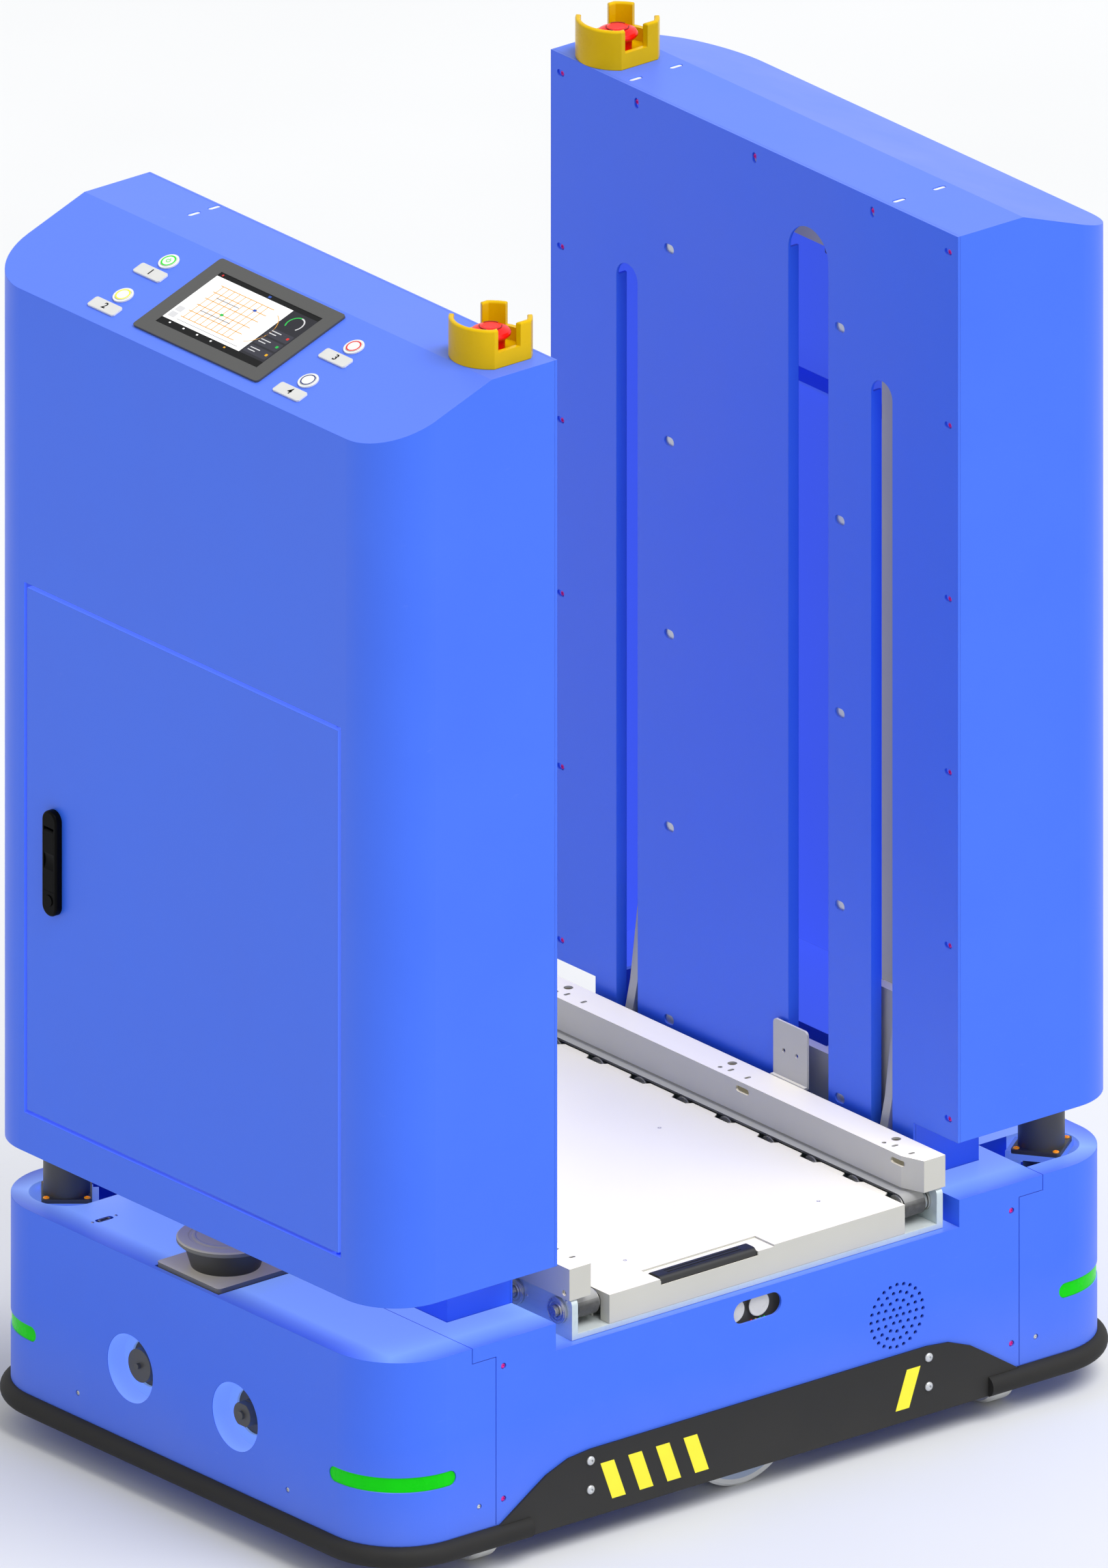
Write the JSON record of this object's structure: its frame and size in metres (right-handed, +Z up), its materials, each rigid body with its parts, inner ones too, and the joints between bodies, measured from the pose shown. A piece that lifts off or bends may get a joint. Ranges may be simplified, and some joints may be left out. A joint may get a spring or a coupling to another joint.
{
  "type": "autonomous mobile robot",
  "caption": "Autonomous mobile robot with two lift towers that raise a narrow belt conveyor between them, on a wheeled base with scanners, bumpers and a touch panel.",
  "frame": {"origin": "on the floor under the middle of the base", "axes": "+X along the travel direction towards the right tower, +Y to the left hand side, +Z up"},
  "size_m": [1.0026, 0.6826, 1.3591],
  "materials": {
    "blue_paint": "satin powder coat",
    "chassis_paint": "satin powder coat",
    "dark_skirt": "matt",
    "bumper_rubber": "matt",
    "green_light": "lit diffuser",
    "battery_case": "moulded",
    "grey_metal": "anodised",
    "steel": "turned",
    "black_plastic": "moulded",
    "dark_plastic": "moulded",
    "scanner_plastic": "satin",
    "screen_glass": "gloss",
    "white_plastic": "satin",
    "green_cap": "satin",
    "yellow_cap": "satin",
    "red_cap": "satin",
    "blue_cap": "satin",
    "yellow_guard": "satin",
    "red_button": "satin",
    "white_paint": "satin powder coat",
    "plated_steel": "clear anodised",
    "belt_rubber": "matt",
    "roller_plastic": "turned",
    "wheel_polyurethane": "satin",
    "caster_nylon": "satin"
  },
  "bodies": {
    "base": {"chassis_frame": "chassis_paint", "bumper_carriers": "chassis_paint", "left_end_cover": "blue_paint", "right_end_cover": "blue_paint", "front_side_cover": "blue_paint", "rear_side_cover": "blue_paint", "side_skirts": "dark_skirt", "bumpers": "bumper_rubber", "light_strips": "green_light", "battery_pack": "battery_case", "control_box": "grey_metal", "drive_motors": "steel", "end_scanner": "scanner_plastic", "corner_scanners": "scanner_plastic", "port_connectors": "dark_plastic", "speaker": "black_plastic", "optical_link": "black_plastic", "tower_necks": "blue_paint", "left_tower_shell": "blue_paint", "right_tower_shell": "blue_paint", "inner_panels": "blue_paint", "lift_guides": "grey_metal", "lift_motors": "black_plastic", "hmi_bezel": "dark_plastic", "hmi_screen": "screen_glass", "button_trim": "white_plastic", "estop_guards": "yellow_guard"},
    "deck": {"lift_carriages": "white_paint", "deck_frame": "plated_steel", "deck_cover": "white_paint", "guide_rails": "white_paint", "sensor_bracket": "white_paint", "conveyor_belts": "belt_rubber", "shaft_bearings": "steel", "idler_rollers": "roller_plastic"},
    "door": {"door": "blue_paint", "latch_housing": "black_plastic"},
    "right_lead_screw": {"right_lead_screw": "steel"},
    "left_lead_screw": {"left_lead_screw": "steel"},
    "drive_roller": {"drive_roller": "roller_plastic"},
    "tail_roller": {"tail_roller": "roller_plastic"},
    "stopper": {"stopper": "black_plastic"},
    "left_drive_wheel": {"left_drive_wheel": "wheel_polyurethane"},
    "right_drive_wheel": {"right_drive_wheel": "wheel_polyurethane"},
    "latch_lever": {"latch_lever": "black_plastic"},
    "latch_button": {"latch_button": "black_plastic"},
    "left_estop_head": {"left_estop_head": "red_button"},
    "right_estop_head": {"right_estop_head": "red_button"},
    "green_button": {"green_button": "green_cap"},
    "yellow_button": {"yellow_button": "yellow_cap"},
    "red_button": {"red_button": "red_cap"},
    "blue_button": {"blue_button": "blue_cap"},
    "rear_right_caster_fork": {"rear_right_caster_fork": "steel"},
    "rear_right_caster_wheel": {"rear_right_caster_wheel": "caster_nylon"},
    "rear_left_caster_fork": {"rear_left_caster_fork": "steel"},
    "rear_left_caster_wheel": {"rear_left_caster_wheel": "caster_nylon"},
    "front_right_caster_fork": {"front_right_caster_fork": "steel"},
    "front_right_caster_wheel": {"front_right_caster_wheel": "caster_nylon"},
    "front_left_caster_fork": {"front_left_caster_fork": "steel"},
    "front_left_caster_wheel": {"front_left_caster_wheel": "caster_nylon"}
  },
  "joints": [
    {"name": "deck_lift", "type": "slide", "parent": "base", "child": "deck", "axis": [0, 0, 1], "range_m": [0, 0.67]},
    {"name": "right_lead_screw_turn", "type": "hinge", "parent": "base", "child": "right_lead_screw", "pos_m": [0.328, -0.055, 0.7], "axis": [0, 0, 1], "range_deg": [0, 12080]},
    {"name": "left_lead_screw_turn", "type": "hinge", "parent": "base", "child": "left_lead_screw", "pos_m": [-0.328, -0.055, 0.7], "axis": [0, 0, 1], "range_deg": [0, 12080]},
    {"name": "drive_roller_turn", "type": "hinge", "parent": "deck", "child": "drive_roller", "pos_m": [0.007, -0.2994, 0.2516], "axis": [1, 0, 0], "continuous": true},
    {"name": "tail_roller_turn", "type": "hinge", "parent": "deck", "child": "tail_roller", "pos_m": [0.007, 0.2994, 0.2516], "axis": [1, 0, 0], "continuous": true},
    {"name": "stopper_rise", "type": "slide", "parent": "deck", "child": "stopper", "axis": [0, 0, 1], "range_m": [0, 0.025]},
    {"name": "left_drive_wheel_turn", "type": "hinge", "parent": "base", "child": "left_drive_wheel", "pos_m": [0, 0.286, 0.0756], "axis": [0, 1, 0], "continuous": true},
    {"name": "right_drive_wheel_turn", "type": "hinge", "parent": "base", "child": "right_drive_wheel", "pos_m": [0, -0.286, 0.0756], "axis": [0, 1, 0], "continuous": true},
    {"name": "rear_right_caster_swivel", "type": "hinge", "parent": "base", "child": "rear_right_caster_fork", "pos_m": [-0.34, -0.248, 0.09], "axis": [0, 0, 1], "continuous": true},
    {"name": "rear_right_caster_roll", "type": "hinge", "parent": "rear_right_caster_fork", "child": "rear_right_caster_wheel", "pos_m": [-0.34, -0.281, 0.0375], "axis": [1, 0, 0], "continuous": true},
    {"name": "rear_left_caster_swivel", "type": "hinge", "parent": "base", "child": "rear_left_caster_fork", "pos_m": [-0.34, 0.248, 0.09], "axis": [0, 0, 1], "continuous": true},
    {"name": "rear_left_caster_roll", "type": "hinge", "parent": "rear_left_caster_fork", "child": "rear_left_caster_wheel", "pos_m": [-0.34, 0.281, 0.0375], "axis": [1, 0, 0], "continuous": true},
    {"name": "front_right_caster_swivel", "type": "hinge", "parent": "base", "child": "front_right_caster_fork", "pos_m": [0.34, -0.248, 0.09], "axis": [0, 0, 1], "continuous": true},
    {"name": "front_right_caster_roll", "type": "hinge", "parent": "front_right_caster_fork", "child": "front_right_caster_wheel", "pos_m": [0.34, -0.281, 0.0375], "axis": [1, 0, 0], "continuous": true},
    {"name": "front_left_caster_swivel", "type": "hinge", "parent": "base", "child": "front_left_caster_fork", "pos_m": [0.34, 0.248, 0.09], "axis": [0, 0, 1], "continuous": true},
    {"name": "front_left_caster_roll", "type": "hinge", "parent": "front_left_caster_fork", "child": "front_left_caster_wheel", "pos_m": [0.34, 0.281, 0.0375], "axis": [1, 0, 0], "continuous": true},
    {"name": "door_hinge", "type": "hinge", "parent": "base", "child": "door", "pos_m": [-0.481, -0.243, 0.65], "axis": [0, 0, 1], "range_deg": [0, 105]},
    {"name": "latch_lever_turn", "type": "hinge", "parent": "door", "child": "latch_lever", "pos_m": [-0.4957, 0.207, 0.686], "axis": [0, 1, 0], "range_deg": [0, 60]},
    {"name": "latch_button_press", "type": "slide", "parent": "door", "child": "latch_button", "axis": [1, 0, 0], "range_m": [0, 0.002], "stiffness_N_per_m": 600},
    {"name": "left_estop_press", "type": "slide", "parent": "base", "child": "left_estop_head", "axis": [0, 0, -1], "range_m": [0, 0.005]},
    {"name": "right_estop_press", "type": "slide", "parent": "base", "child": "right_estop_head", "axis": [0, 0, -1], "range_m": [0, 0.005]},
    {"name": "green_button_press", "type": "slide", "parent": "base", "child": "green_button", "axis": [0.3402, 0, -0.9403], "range_m": [0, 0.0025], "stiffness_N_per_m": 700},
    {"name": "yellow_button_press", "type": "slide", "parent": "base", "child": "yellow_button", "axis": [0.3402, 0, -0.9403], "range_m": [0, 0.0025], "stiffness_N_per_m": 700},
    {"name": "red_button_press", "type": "slide", "parent": "base", "child": "red_button", "axis": [0.3402, 0, -0.9403], "range_m": [0, 0.0025], "stiffness_N_per_m": 700},
    {"name": "blue_button_press", "type": "slide", "parent": "base", "child": "blue_button", "axis": [0.3402, 0, -0.9403], "range_m": [0, 0.0025], "stiffness_N_per_m": 700}
  ],
  "couplings": [
    {"joint": "right_lead_screw_turn", "follows": "deck_lift", "rad_per_m": 314.16},
    {"joint": "left_lead_screw_turn", "follows": "deck_lift", "rad_per_m": 314.16},
    {"joint": "tail_roller_turn", "follows": "drive_roller_turn", "ratio": 1}
  ]
}
